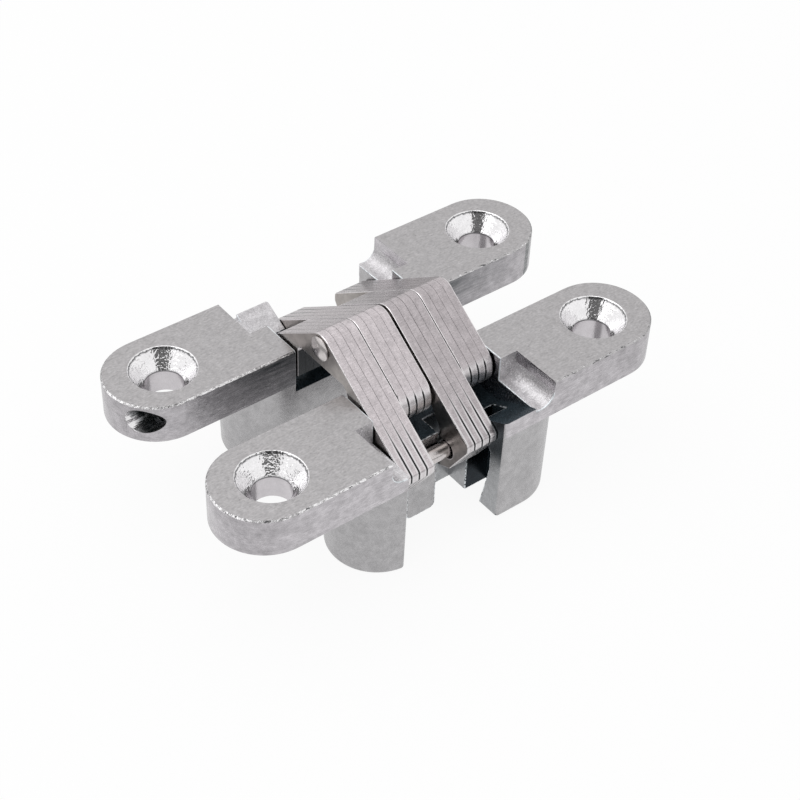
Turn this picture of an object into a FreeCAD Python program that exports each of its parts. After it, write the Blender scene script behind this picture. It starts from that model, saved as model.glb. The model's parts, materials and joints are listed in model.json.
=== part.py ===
"""Concealed invisible door hinge, open flat at 180 degrees.

X runs along the leaves, Y across them and Z out of their faces. The origin is the middle of the
hinge, in the plane of both faces. Leaf A lies on the -Y side. Leaf B and the link set that carries
its slide pin are leaf A and the other set turned half round about Z.
"""

import FreeCAD, Part
import math
import operator
import os
import Sketcher

DIMENSIONS = [
    ("leaf_length", 95.0, "face plate, end to end"),
    ("leaf_width", 19.6, "face plate and housing, across"),
    ("leaf_spacing", 33.84, "between the axes of the two leaves when open"),
    ("plate_thickness", 8.2, "face plate"),
    ("plate_edge", 0.3, "chamfer on the face plate's rims"),
    ("housing_length", 47.0, "housing below the plate, end to end"),
    ("housing_depth", 28.1, "face to underside of the housing"),
    ("housing_draft", 0.7, "moulding draft of the housing, in degrees"),
    ("housing_edge", 0.9, "round on the housing's underside"),
    ("rib_corner", 1.2, "round on the lower corners of the guide rib"),
    ("upright_round", 0.6, "round on the upright corners beside the leg slots"),
    ("screw_spacing", 72.6, "between the two screw holes of a leaf"),
    ("screw_hole", 7.2, "diameter of the screw hole"),
    ("countersink", 12.6, "diameter of the countersink in the face"),
    ("countersink_depth", 3.5, "face to the foot of the countersink"),
    ("floor_depth", 9.7, "face to the floor of the link pocket"),
    ("floor_start", 0.7, "leaf axis to where the block's slope meets the floor"),
    ("rim_depth", 4.4, "face to the top of the slope at the outer side"),
    ("back_wall", 4.5, "leaf axis to the wall behind the long legs"),
    ("scoop_length", 3.9, "scoop past the pocket's end"),
    ("scoop_depth", 5.1, "face to the scoop's shelf"),
    ("scoop_round", 2.7, "hollow round at the end of the scoop"),
    ("scoop_start", 0.85, "leaf axis to the inner wall of the scoop"),
    ("lamination_pitch", 1.71, "one lamination and the film of grease beside it"),
    ("lamination_film", 0.03, "gap between two laminations"),
    ("pack_size", 4.0, "laminations in a pack"),
    ("pack_gap", 0.1, "gap between two packs on the same side of the middle"),
    ("middle_gap", 0.45, "gap between the two packs beside the middle"),
    ("side_gap", 0.35, "play between a pack and the casting beside it"),
    ("block_gap", 0.12, "play between a pack and the block"),
    ("pivot_inset", 6.5, "leaf axis to the fixed pin, towards the other leaf"),
    ("pivot_depth", 3.4, "face to the fixed pin's axis"),
    ("centre_height", 5.3, "faces to the centre pin's axis, open"),
    ("slide_inset", -1.85, "leaf axis to the slide pin's axis, open"),
    ("slide_depth", 12.4, "face to the slide pin's axis, open"),
    ("folded_gap", 1.2, "between the two faces when folded"),
    ("fixed_pin", 3.0, "diameter of the fixed pin"),
    ("fixed_pin_hold", 3.6, "length of the fixed pin held in each end of the casting"),
    ("bore_mouth", 5.1, "diameter of the recess where the fixed pin's bore opens"),
    ("bore_mouth_depth", 3.8, "depth of that recess"),
    ("centre_pin", 3.1, "diameter of the centre pin"),
    ("rivet_head", 4.8, "diameter of the centre pin's domed heads"),
    ("rivet_rim", 0.3, "height of a head's straight rim"),
    ("rivet_dome", 0.75, "height of a head's dome above its rim"),
    ("slide_pin", 3.08, "diameter of the slide pin"),
    ("slide_hole", 3.7, "hole for the slide pin in the legs"),
    ("slide_hole_out", 0.2, "middle of that hole, outwards from the pin's axis"),
    ("slide_hole_drop", 0.1, "middle of that hole, below the pin's axis, open"),
    ("slide_pin_block", 5.0, "length of the slide pin in the block's slot"),
    ("slide_pin_wall", 2.2, "length of the slide pin in the end wall's slot"),
    ("slot_mouth", 3.65, "width of the slide slot where it opens above"),
    ("slot_foot", 4.2, "width of the slide slot where it opens below"),
    ("pin_clearance", 0.05, "radial play of a pin in a leg or a casting"),
    ("slot_clearance", 0.15, "play of the slide pin in its slot"),
    ("pin_chamfer", 0.3, "chamfer on the ends of the straight pins"),
    ("eye_radius", 4.36, "eye of the short leg about the fixed pin"),
    ("ridge_slope", 34.0, "slope of the legs' upper edges, in degrees"),
    ("ridge_round", 3.4, "round on the legs' ridge"),
    ("arch_height", 1.3, "face to the underside of the legs' bridge"),
    ("arch_half", 7.1, "middle to the inner edge of the short leg"),
    ("arch_round", 1.5, "round at the top of the arch"),
    ("notch_radius", 1.9, "hollow of the long leg over the other leaf's fixed pin"),
    ("heel_flat", 1.7, "height of the upright edge at the heel, corner to corner"),
    ("heel_round", 1.0, "round on the two corners of the heel"),
    ("sole_depth", 3.3, "slide pin's axis to the sole of the foot"),
    ("sole_length", 2.7, "slide pin's axis to the end of the sole"),
    ("toe_length", 5.6, "slide pin's axis to the tip of the toe"),
    ("toe_height", 1.0, "slide pin's axis down to the tip of the toe"),
    ("toe_round", 0.6, "round on the tip of the toe"),
    ("instep_length", 1.5, "slide pin's axis to the corner above the toe"),
    ("instep_height", 3.0, "slide pin's axis up to the back of the foot"),
    ("calf_length", 1.6, "slide pin's axis to where the leg leaves the foot"),
    ("leg_round", 2.0, "round on the two bends at the back of the foot"),
]

# Where the notch over the other leaf's fixed pin opens towards the arch, in degrees from +Y.
NOTCH_EXIT = 40.0
# Share of the fold at which the upper slant of a slide slot's outer wall is laid against the pin.
UPPER_TOUCH = 1 / 3

SIGNS = {"+": operator.add, "-": operator.sub, "*": operator.mul, "/": operator.truediv}


class Size:
    """A size: its present value, and the sheet expression that gives it."""

    def __init__(self, value, text):
        self.value = value
        self.text = text

    def __add__(self, other):
        return combine(self, "+", other)

    def __radd__(self, other):
        return combine(other, "+", self)

    def __sub__(self, other):
        return combine(self, "-", other)

    def __rsub__(self, other):
        return combine(other, "-", self)

    def __mul__(self, other):
        return combine(self, "*", other)

    def __truediv__(self, other):
        return combine(self, "/", other)

    def __neg__(self):
        return combine(0, "-", self)


def as_size(number):
    if isinstance(number, Size):
        return number
    return Size(float(number), "(%.9f)" % number)


def combine(left, sign, right):
    left, right = as_size(left), as_size(right)
    value = SIGNS[sign](left.value, right.value)
    return Size(value, "(%s %s %s)" % (left.text, sign, right.text))


class Sheet:
    """The driving dimensions, read as d.name."""

    def __init__(self, doc):
        sheet = doc.addObject("Spreadsheet::Sheet", "dimensions")
        for row, (name, value, note) in enumerate(DIMENSIONS, start=1):
            sheet.set("A%d" % row, name)
            sheet.set("B%d" % row, str(value))
            sheet.set("C%d" % row, note)
            sheet.setAlias("B%d" % row, name)
        doc.recompute()
        for name, _, _ in DIMENSIONS:
            setattr(self, name, Size(float(getattr(sheet, name)), "dimensions.%s" % name))


doc = FreeCAD.newDocument("concealed_hinge")
d = Sheet(doc)

half_width = d.leaf_width / 2
pack_width = d.lamination_pitch * d.pack_size
far_pack = d.middle_gap / 2 + pack_width + d.pack_gap
stack_half = far_pack + pack_width
pocket_half = stack_half + d.side_gap
scoop_end = pocket_half + d.scoop_length
pivot_y = d.leaf_spacing / 2 - d.pivot_inset
slide_y = d.leaf_spacing / 2 - d.slide_inset

# Where each pack and each zone of a casting lies along X, counted from the -X end.
pack_start = [-stack_half, -pack_width - d.middle_gap / 2, d.middle_gap / 2, far_pack]
slot_1_end = pack_start[0] + pack_width + d.side_gap
slot_3_start = pack_start[2] - d.side_gap
slot_3_end = pack_start[2] + pack_width + d.block_gap
slide_pin_start = pack_start[0] - d.slide_pin_wall
slide_pin_end = pack_start[2] + pack_width + d.slide_pin_block


def turned(point, angle):
    """A point (y, z) turned about the origin, anticlockwise seen from +X."""
    y, z = point
    return y * math.cos(angle) - z * math.sin(angle), y * math.sin(angle) + z * math.cos(angle)


def folding():
    """Turns from open to folded: of a short leg in its leaf, and of a long leg in its leaf.

    The centre pin swings about the fixed pin until it is half the folded gap above the face, and
    the two leaves together turn through 180 degrees, shared alike.
    """
    arm_y, arm_z = pivot_y.value, d.centre_height.value + d.pivot_depth.value
    arm = math.hypot(arm_y, arm_z)
    rise = d.folded_gap.value / 2 + d.pivot_depth.value
    short_turn = math.pi - math.asin(rise / arm) - math.atan2(arm_z, arm_y)
    return short_turn, math.pi - short_turn


def slide_path(steps=48):
    """Centres (y, z) of the slide pin in its leaf while the hinge folds."""
    arm = (pivot_y.value, d.centre_height.value + d.pivot_depth.value)
    leg = (-slide_y.value, -d.slide_depth.value - d.centre_height.value)
    short_turn, long_turn = folding()
    path = []
    for step in range(steps + 1):
        share = step / steps
        centre = turned(arm, short_turn * share)
        foot = turned(leg, long_turn * share)
        path.append((d.pivot_inset.value + centre[0] + foot[0], centre[1] + foot[1] - d.pivot_depth.value))
    return path


short_turn, long_turn = folding()
slot_play = d.slide_pin / 2 + d.slot_clearance
slot_inner = slot_play + max(y for y, _ in slide_path())
slot_top = slot_play + max(z for _, z in slide_path())
mouth_outer = slot_inner - d.slot_mouth


def slot_wall():
    """Corners (y, z) of a slide slot's outer wall, upwards: it bulges by as much as the pin swings out.

    The lower slant leans against the pin's path from the slot's opening in the underside. The upper
    one lies along the path.
    """
    path, play = slide_path(), slot_play.value
    bulge = min(y for y, _ in path) - play
    foot = (slot_inner - d.slot_foot, -d.housing_depth)
    leans = []
    for y, z in path:
        dy, dz = y - foot[0].value, z - foot[1].value
        leans.append(math.atan2(dz, dy) + math.asin(play / math.hypot(dy, dz)))
    bulge_foot = foot[1].value + (bulge - foot[0].value) * math.tan(max(leans))

    step = round(UPPER_TOUCH * (len(path) - 1))
    run, fall = path[step + 1][0] - path[step - 1][0], path[step + 1][1] - path[step - 1][1]
    length = math.hypot(run, fall)
    touch = (path[step][0] + play * fall / length, path[step][1] - play * run / length)
    upper_ends = [(y, touch[1] + (y - touch[0]) * fall / run) for y in (bulge, mouth_outer.value)]
    return [foot, (bulge, bulge_foot)] + upper_ends


def plane_of(body, role):
    return next(f for f in body.Origin.OriginFeatures if f.Role == role)


def bind(item, prop, size):
    item.setExpression(prop, as_size(size).text)


def new_sketch(body, name, role, offset=0.0):
    """A sketch on one of the body's own planes, moved along the plane's normal."""
    sketch = body.newObject("Sketcher::SketchObject", name)
    sketch.AttachmentSupport = (plane_of(body, role), [""])
    sketch.MapMode = "FlatFace"
    sketch.AttachmentOffset.Base = FreeCAD.Vector(0, 0, as_size(offset).value)
    bind(sketch, "AttachmentOffset.Base.z", offset)
    return sketch


def place_point(sketch, geometry, end, corner):
    """Fix one point of a sketch at a corner whose coordinates follow the sheet."""
    for kind, size in zip(("DistanceX", "DistanceY"), corner):
        size = as_size(size)
        index = sketch.addConstraint(Sketcher.Constraint(kind, -1, 1, geometry, end, size.value))
        sketch.setExpression("Constraints[%d]" % index, size.text)


def draw_loop(sketch, corners):
    """A closed outline of straight sides through corners, each a pair of sizes."""
    points = [FreeCAD.Vector(as_size(a).value, as_size(b).value, 0) for a, b in corners]
    count = len(points)
    lines = [
        sketch.addGeometry(Part.LineSegment(points[i], points[(i + 1) % count]), False)
        for i in range(count)
    ]
    for i, line in enumerate(lines):
        sketch.addConstraint(Sketcher.Constraint("Coincident", line, 2, lines[(i + 1) % count], 1))
        place_point(sketch, line, 1, corners[i])


def draw_circle(sketch, centre, diameter):
    radius = as_size(diameter) / 2
    middle = FreeCAD.Vector(as_size(centre[0]).value, as_size(centre[1]).value, 0)
    circle = sketch.addGeometry(Part.Circle(middle, FreeCAD.Vector(0, 0, 1), radius.value), False)
    place_point(sketch, circle, 3, centre)
    index = sketch.addConstraint(Sketcher.Constraint("Radius", circle, radius.value))
    sketch.setExpression("Constraints[%d]" % index, radius.text)


def draw_stadium(sketch, length, width):
    """A round-ended outline about the origin, long side along the sketch's first axis."""
    radius = width / 2
    reach = length / 2 - radius
    up, down = FreeCAD.Vector(0, radius.value, 0), FreeCAD.Vector(0, -radius.value, 0)
    right, left = FreeCAD.Vector(reach.value, 0, 0), FreeCAD.Vector(-reach.value, 0, 0)
    tip = FreeCAD.Vector(radius.value, 0, 0)
    top = sketch.addGeometry(Part.LineSegment(right + up, left + up), False)
    left_end = sketch.addGeometry(Part.Arc(left + up, left - tip, left + down), False)
    bottom = sketch.addGeometry(Part.LineSegment(left + down, right + down), False)
    right_end = sketch.addGeometry(Part.Arc(right + down, right + tip, right + up), False)
    ring = [(top, 2, left_end, 1), (left_end, 2, bottom, 1), (bottom, 2, right_end, 1), (right_end, 2, top, 1)]
    for first, end, second, start in ring:
        sketch.addConstraint(Sketcher.Constraint("Coincident", first, end, second, start))
    place_point(sketch, left_end, 3, (-reach, 0))
    place_point(sketch, right_end, 3, (reach, 0))
    for line, edge in ((top, radius), (bottom, -radius)):
        place_point(sketch, line, 1, (reach if line == top else -reach, edge))


def pad(body, sketch, name, length, reverse=False):
    feature = body.newObject("PartDesign::Pad", name)
    feature.Profile = sketch
    feature.Reversed = reverse
    bind(feature, "Length", length)
    return feature


def pocket(body, sketch, name, length=None, forward=True):
    """Cut a sketch out of the body, along its normal, by a length or right through both ways."""
    feature = body.newObject("PartDesign::Pocket", name)
    feature.Profile = sketch
    if length is None:
        feature.Type = "ThroughAll"
        feature.Midplane = True
    else:
        feature.Reversed = forward
        bind(feature, "Length", length)
    return feature


def is_steep(edge):
    """True for an edge that rises more than it runs."""
    ends = edge.Vertexes[0].Point, edge.Vertexes[-1].Point
    return abs(ends[0].z - ends[1].z) > abs(ends[0].y - ends[1].y)


def at_x(edge, places):
    """True for an edge that lies wholly in one of some planes across X."""
    return any(all(abs(v.Point.x - x.value) < 1e-4 for v in edge.Vertexes) for x in places)


def break_edges(body, name, size, wanted, kind="Fillet"):
    """Fillet or chamfer the edges of the body so far for which wanted(edge) is true."""
    doc.recompute()
    base = body.Tip
    names = ["Edge%d" % (i + 1) for i, edge in enumerate(base.Shape.Edges) if wanted(edge)]
    feature = body.newObject("PartDesign::" + kind, name)
    feature.Base = (base, names)
    bind(feature, "Radius" if kind == "Fillet" else "Size", size)
    return feature


def cut_section(body, name, start, end, corners):
    """Cut a (y, z) outline out of a casting between two places along X."""
    sketch = new_sketch(body, name + "_outline", "YZ_Plane", start)
    draw_loop(sketch, corners)
    return pocket(body, sketch, name, as_size(end) - start)


def level(height):
    """True for an edge that lies wholly at one height."""
    return lambda edge: all(abs(v.Point.z - height) < 1e-4 for v in edge.Vertexes)


def casting(label, turn, shift):
    """One leaf: face plate, housing, pocket, leg slots, scoops, bores and screw holes.

    Drawn as leaf A about its own axis, with the other leaf on its +Y side.
    """
    body = doc.addObject("PartDesign::Body", label)
    body.Label = label
    plate = new_sketch(body, label + "_plate_outline", "XY_Plane")
    draw_stadium(plate, d.leaf_length, d.leaf_width)
    pad(body, plate, label + "_plate", d.plate_thickness, reverse=True)
    rims = (0.0, -d.plate_thickness.value)
    break_edges(body, label + "_plate_rims", d.plate_edge, lambda e: any(level(z)(e) for z in rims), "Chamfer")

    above_chamfer = d.plate_thickness - d.plate_edge
    below = new_sketch(body, label + "_housing_outline", "XY_Plane", -above_chamfer)
    draw_stadium(below, d.housing_length, d.leaf_width)
    housing = pad(body, below, label + "_housing", d.housing_depth - above_chamfer, reverse=True)
    bind(housing, "TaperAngle", -d.housing_draft)
    break_edges(body, label + "_underside", d.housing_edge, level(-d.housing_depth.value))

    above, clear = d.plate_thickness, d.housing_depth + d.plate_thickness
    outside = d.leaf_width
    floor = -d.floor_depth
    rim = (-half_width, -d.rim_depth)
    slope_foot = (d.floor_start, floor)
    slope = (d.floor_depth - d.rim_depth) / (half_width + d.floor_start)
    guide_top = (slot_inner, floor + slope * (d.floor_start - slot_inner))
    over_floor = [(outside, floor), (outside, above)]

    leg_slot = [(-outside, above), (-outside, -clear), (d.back_wall, -clear), (d.back_wall, floor)]
    cut_section(body, label + "_slot_1", -pocket_half, slot_1_end, leg_slot + over_floor)
    cut_section(body, label + "_slot_3", slot_3_start, slot_3_end, leg_slot + over_floor)
    guide = [(-outside, above), (-outside, -clear), (slot_inner, -clear), guide_top, slope_foot]
    cut_section(body, label + "_guide", slot_1_end, slot_3_start, guide + over_floor)
    block = [(-outside, above), (-outside, -d.rim_depth), rim, slope_foot]
    cut_section(body, label + "_block", slot_3_end, pocket_half, block + over_floor)

    run = [(slot_inner, -clear), (slot_inner - d.slot_foot, -clear)] + slot_wall()
    open_mouth = [(mouth_outer, above), (slot_inner, above)]
    block_slot_end = slide_pin_end + d.side_gap
    cut_section(body, label + "_slide_slot", slot_3_end, block_slot_end, run + open_mouth)
    blind_top = [(mouth_outer, slot_top), (slot_inner, slot_top)]
    blind_start = slide_pin_start - d.side_gap
    cut_section(body, label + "_blind_slot", blind_start, -pocket_half, run + blind_top)

    draft_run = d.housing_depth * math.tan(math.radians(d.housing_draft.value))
    outer_strip = (draft_run + d.housing_edge + d.upright_round - half_width).value
    break_edges(
        body, label + "_uprights", d.upright_round,
        lambda e: at_x(e, (-pocket_half, slot_3_end)) and is_steep(e) and e.BoundBox.YMax < outer_strip,
    )
    underside = level(-d.housing_depth.value)
    break_edges(
        body, label + "_rib_corners", d.rib_corner,
        lambda e: underside(e) and at_x(e, (slot_1_end, slot_3_start)),
    )

    for name, way in (("scoop_near", -1), ("scoop_far", 1)):
        outline = new_sketch(body, "%s_%s_outline" % (label, name), "XZ_Plane", -d.scoop_start)
        start, end = pocket_half * way, scoop_end * way
        draw_loop(outline, [(start, above), (start, -d.scoop_depth), (end, -d.scoop_depth), (end, above)])
        pocket(body, outline, "%s_%s" % (label, name), outside, forward=True)
    hollow = (scoop_end.value, -d.scoop_depth.value)
    break_edges(
        body, label + "_scoop_rounds", d.scoop_round,
        lambda e: len(e.Vertexes) == 2 and abs(e.Vertexes[0].Point.y - e.Vertexes[1].Point.y) > 1
        and all(math.hypot(abs(v.Point.x) - hollow[0], v.Point.z - hollow[1]) < 1e-4 for v in e.Vertexes),
    )

    fixed_start = -pocket_half - d.fixed_pin_hold - d.pin_clearance
    bore = new_sketch(body, label + "_pin_bore_outline", "YZ_Plane", fixed_start)
    draw_circle(bore, (d.pivot_inset, -d.pivot_depth), d.fixed_pin + d.pin_clearance * 2)
    pocket(body, bore, label + "_pin_bore", d.leaf_length)
    end_x = bore_mouth_x() - d.bore_mouth_depth
    mouth = new_sketch(body, label + "_bore_mouth_outline", "YZ_Plane", end_x)
    draw_circle(mouth, (d.pivot_inset, -d.pivot_depth), d.bore_mouth)
    pocket(body, mouth, label + "_bore_mouth", d.leaf_width)

    for name, way in (("near", -1), ("far", 1)):
        spot = (d.screw_spacing / 2 * way, 0)
        hole = new_sketch(body, "%s_screw_%s_outline" % (label, name), "XY_Plane")
        draw_circle(hole, spot, d.screw_hole)
        pocket(body, hole, "%s_screw_%s" % (label, name))
        cone = body.newObject("PartDesign::SubtractiveCone", "%s_countersink_%s" % (label, name))
        bind(cone, "Radius1", d.screw_hole / 2)
        bind(cone, "Radius2", d.countersink / 2)
        bind(cone, "Height", d.countersink_depth)
        bind(cone, "Placement.Base.x", spot[0])
        bind(cone, "Placement.Base.z", -d.countersink_depth)
    body.Placement = FreeCAD.Placement(
        FreeCAD.Vector(0, as_size(shift).value, 0), FreeCAD.Rotation(FreeCAD.Vector(0, 0, 1), turn)
    )
    bind(body, "Placement.Base.y", shift)
    return body


def bore_mouth_x():
    """Where the fixed pin's axis leaves the round end of the face plate."""
    radius = half_width.value
    inset = d.pivot_inset.value
    return d.leaf_length / 2 - half_width + math.sqrt(radius * radius - inset * inset)


def on_circle(centre, radius, degrees):
    turn = math.radians(degrees)
    return centre[0] + radius * math.cos(turn), centre[1] + radius * math.sin(turn)


def tangent_angle(centre, radius, point):
    """Direction, in degrees, of the upper touching point of a tangent from a point on the left."""
    dy, dz = point[0] - centre[0], point[1] - centre[1]
    return math.degrees(math.atan2(dz, dy) - math.acos(radius / math.hypot(dy, dz))) % 360


def ease(before, corner, after, radius):
    """Start, middle and end of the arc that rounds a corner between two straight sides."""
    ways = []
    for other in (before, after):
        dy, dz = other[0] - corner[0], other[1] - corner[1]
        ways.append((dy / math.hypot(dy, dz), dz / math.hypot(dy, dz)))
    (ay, az), (by, bz) = ways
    half = math.acos(ay * by + az * bz) / 2
    run = radius / math.tan(half)
    bisector = math.hypot(ay + by, az + bz)
    depth = (radius / math.sin(half) - radius) / bisector
    middle = (corner[0] + (ay + by) * depth, corner[1] + (az + bz) * depth)
    return (corner[0] + ay * run, corner[1] + az * run), middle, (corner[0] + by * run, corner[1] + bz * run)


def draw_outline(sketch, stations):
    """A closed outline through stations: (point, radius of its round, point that an arc passes on its way)."""
    count = len(stations)
    arrive, leave, rounds = [], [], []
    for index, (corner, radius, _) in enumerate(stations):
        before, after = stations[index - 1][0], stations[(index + 1) % count][0]
        eased = ease(before, corner, after, as_size(radius).value) if radius else (corner, None, corner)
        arrive.append(eased[0])
        leave.append(eased[2])
        rounds.append(eased if radius else None)
    pieces = []
    for index, (_, _, via) in enumerate(stations):
        follower = (index + 1) % count
        stretch = [leave[index], via, arrive[follower]]
        pieces.append([spot for spot in stretch if spot])
        if rounds[follower]:
            pieces.append(rounds[follower])
    drawn = []
    for piece in pieces:
        spots = [FreeCAD.Vector(y, z, 0) for y, z in piece]
        if len(spots) == 2:
            drawn.append((sketch.addGeometry(Part.LineSegment(*spots), False), 1, 2))
            continue
        clockwise = (spots[1] - spots[0]).cross(spots[2] - spots[1]).z < 0
        arc = sketch.addGeometry(Part.Arc(*spots), False)
        drawn.append((arc, 2, 1) if clockwise else (arc, 1, 2))
    for index, (item, _, end) in enumerate(drawn):
        follower, start, _ = drawn[(index + 1) % len(drawn)]
        sketch.addConstraint(Sketcher.Constraint("Coincident", item, end, follower, start))
    for item, _, _ in drawn:
        sketch.addConstraint(Sketcher.Constraint("Block", item))


def link_outline():
    """Stations of the lamination's outline (y, z), clockwise from the ridge.

    The foot is laid out as it stands when the hinge is folded, sole level, and then turned back
    about the slide pin by the leg's turn.
    """
    tilt = math.radians(d.ridge_slope.value)
    eye = (pivot_y.value, -d.pivot_depth.value)
    other_pin = (-pivot_y.value, -d.pivot_depth.value)
    eye_radius, notch_radius = d.eye_radius.value, d.notch_radius.value
    ridge = eye_radius / math.cos(tilt) + eye[0] * math.tan(tilt) + eye[1]
    arch, half = d.arch_height.value, d.arch_half.value

    def foot(along, up):
        y, z = turned((as_size(along).value, as_size(up).value), -long_turn)
        return y - slide_y.value, z - d.slide_depth.value

    eye_top = on_circle(eye, eye_radius, 90 - d.ridge_slope.value)
    eye_end = (half, eye[1] - math.sqrt(eye_radius ** 2 - (half - eye[0]) ** 2))
    calf = foot(-d.calf_length, d.instep_height)
    notch_in = tangent_angle(other_pin, notch_radius, calf)
    notch = [on_circle(other_pin, notch_radius, a) for a in (NOTCH_EXIT, (NOTCH_EXIT + notch_in) / 2, notch_in)]
    sole = foot(d.sole_length, -d.sole_depth)
    drop = d.heel_flat.value - ridge + sole[1] + sole[0] * math.tan(long_turn)
    reach = drop / (math.tan(tilt) + math.tan(long_turn))
    heel_top = ridge + reach * math.tan(tilt)
    return [
        ((0.0, ridge), d.ridge_round, None),
        (eye_top, 0, on_circle(eye, eye_radius, -45)),
        (eye_end, 0, None),
        ((half, arch), d.arch_round, None),
        ((-half, arch), d.arch_round, None),
        (notch[0], 0, notch[1]),
        (notch[2], 0, None),
        (calf, d.leg_round, None),
        (foot(d.instep_length, d.instep_height), d.leg_round, None),
        (foot(d.toe_length, -d.toe_height), d.toe_round, None),
        (sole, d.toe_round, None),
        ((reach, heel_top - d.heel_flat.value), d.heel_round, None),
        ((reach, heel_top), d.heel_round, None),
    ]


def lamination(label, start, turn):
    """One stamped leg plate: bridge over both leaves, short leg with its eye, long leg with its foot."""
    body = doc.addObject("PartDesign::Body", label)
    body.Label = label
    outline = new_sketch(body, label + "_outline", "YZ_Plane")
    draw_outline(outline, link_outline())
    pad(body, outline, label + "_blank", d.lamination_pitch - d.lamination_film)
    holes = new_sketch(body, label + "_holes_outline", "YZ_Plane")
    draw_circle(holes, (0, d.centre_height), d.centre_pin + d.pin_clearance * 2)
    draw_circle(holes, (pivot_y, -d.pivot_depth), d.fixed_pin + d.pin_clearance * 2)
    slide_hole_at = (-slide_y - d.slide_hole_out, -d.slide_depth - d.slide_hole_drop)
    draw_circle(holes, slide_hole_at, d.slide_hole)
    pocket(body, holes, label + "_holes")
    body.Placement = FreeCAD.Placement(
        FreeCAD.Vector(as_size(start).value, 0, 0), FreeCAD.Rotation(FreeCAD.Vector(0, 0, 1), turn)
    )
    bind(body, "Placement.Base.x", start)
    return body


def straight_pin(label, diameter, start, end, spot, turn):
    """A plain pin along X with chamfered ends, at spot = (y, z)."""
    body = doc.addObject("PartDesign::Body", label)
    body.Label = label
    outline = new_sketch(body, label + "_outline", "YZ_Plane", start)
    draw_circle(outline, spot, diameter)
    pad(body, outline, label + "_rod", as_size(end) - start)
    doc.recompute()
    rod = body.Tip
    ends = ["Edge%d" % (i + 1) for i, edge in enumerate(rod.Shape.Edges) if len(edge.Vertexes) == 1]
    chamfer = body.newObject("PartDesign::Chamfer", label + "_ends")
    chamfer.Base = (rod, ends)
    bind(chamfer, "Size", d.pin_chamfer)
    body.Placement = FreeCAD.Placement(FreeCAD.Vector(0, 0, 0), FreeCAD.Rotation(FreeCAD.Vector(0, 0, 1), turn))
    return body


def rivet(label):
    """The centre pin, turned about X: a shank with a low domed head outside each end of the packs."""
    body = doc.addObject("PartDesign::Body", label)
    body.Label = label
    outline = new_sketch(body, label + "_outline", "XZ_Plane")
    seat = (stack_half + d.pin_clearance).value
    head, shank = d.rivet_head.value / 2, d.centre_pin.value / 2
    rim = seat + d.rivet_rim.value
    tip = rim + d.rivet_dome.value
    dome_radius = (head ** 2 + d.rivet_dome.value ** 2) / (2 * d.rivet_dome.value)
    half_angle = math.degrees(math.asin(head / dome_radius)) / 2
    middle = on_circle((tip - dome_radius, 0.0), dome_radius, half_angle)
    draw_outline(outline, [
        ((-tip, 0.0), 0, (-middle[0], middle[1])),
        ((-rim, head), 0, None),
        ((-seat, head), 0, None),
        ((-seat, shank), 0, None),
        ((seat, shank), 0, None),
        ((seat, head), 0, None),
        ((rim, head), 0, middle),
        ((tip, 0.0), 0, None),
    ])
    turned_pin = body.newObject("PartDesign::Revolution", label + "_turned")
    turned_pin.Profile = outline
    turned_pin.ReferenceAxis = (outline, ["H_Axis"])
    turned_pin.Angle = 360
    body.Placement.Base = FreeCAD.Vector(0, 0, d.centre_height.value)
    bind(body, "Placement.Base.z", d.centre_height)
    return body


def make_hinge():
    leaf_y = d.leaf_spacing / 2
    parts = [casting("leaf_a", 0, -leaf_y), casting("leaf_b", 180, leaf_y)]
    number = 0
    for pack in range(4):
        for layer in range(int(d.pack_size.value)):
            number += 1
            start = pack_start[pack] + d.lamination_pitch * layer + d.lamination_film / 2
            other_end = start + d.lamination_pitch - d.lamination_film
            long_leg_in_a = pack % 2 == 0
            parts.append(
                lamination("link_%d" % number, start, 0) if long_leg_in_a
                else lamination("link_%d" % number, other_end, 180)
            )
    parts.append(rivet("centre_pin"))
    held = pocket_half + d.fixed_pin_hold
    fixed_spot = (-pivot_y, -d.pivot_depth)
    slide_spot = (-slide_y, -d.slide_depth)
    for leaf, turn in (("a", 0), ("b", 180)):
        parts.append(straight_pin("fixed_pin_" + leaf, d.fixed_pin, -held, held, fixed_spot, turn))
        parts.append(straight_pin("slide_pin_" + leaf, d.slide_pin, slide_pin_start, slide_pin_end, slide_spot, turn))
    return parts


def check_and_write(parts):
    doc.recompute()
    failed = [o.Name for o in doc.Objects if "Invalid" in o.State or "Error" in o.State]
    if failed:
        raise RuntimeError("failed features: %s" % ", ".join(failed))
    for part in parts:
        shape = part.Shape
        if shape.isNull() or not shape.isValid() or len(shape.Solids) != 1:
            raise RuntimeError("%s is not one valid solid" % part.Label)
    os.makedirs("parts", exist_ok=True)
    for part in parts:
        part.Shape.exportStep("parts/%s.step" % part.Label)
        print("%s %.1f mm3" % (part.Label, part.Shape.Volume))


check_and_write(make_hinge())
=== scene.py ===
"""Looks of the concealed door hinge: die-cast leaves, stamped steel link packs and steel pins.

Every length is in metres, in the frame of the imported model: X along the leaves, Y across them,
Z out of their faces, with the origin in the middle of the hinge.
"""

import json
import math
import bmesh
import bpy
from mathutils import Matrix, Vector


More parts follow.
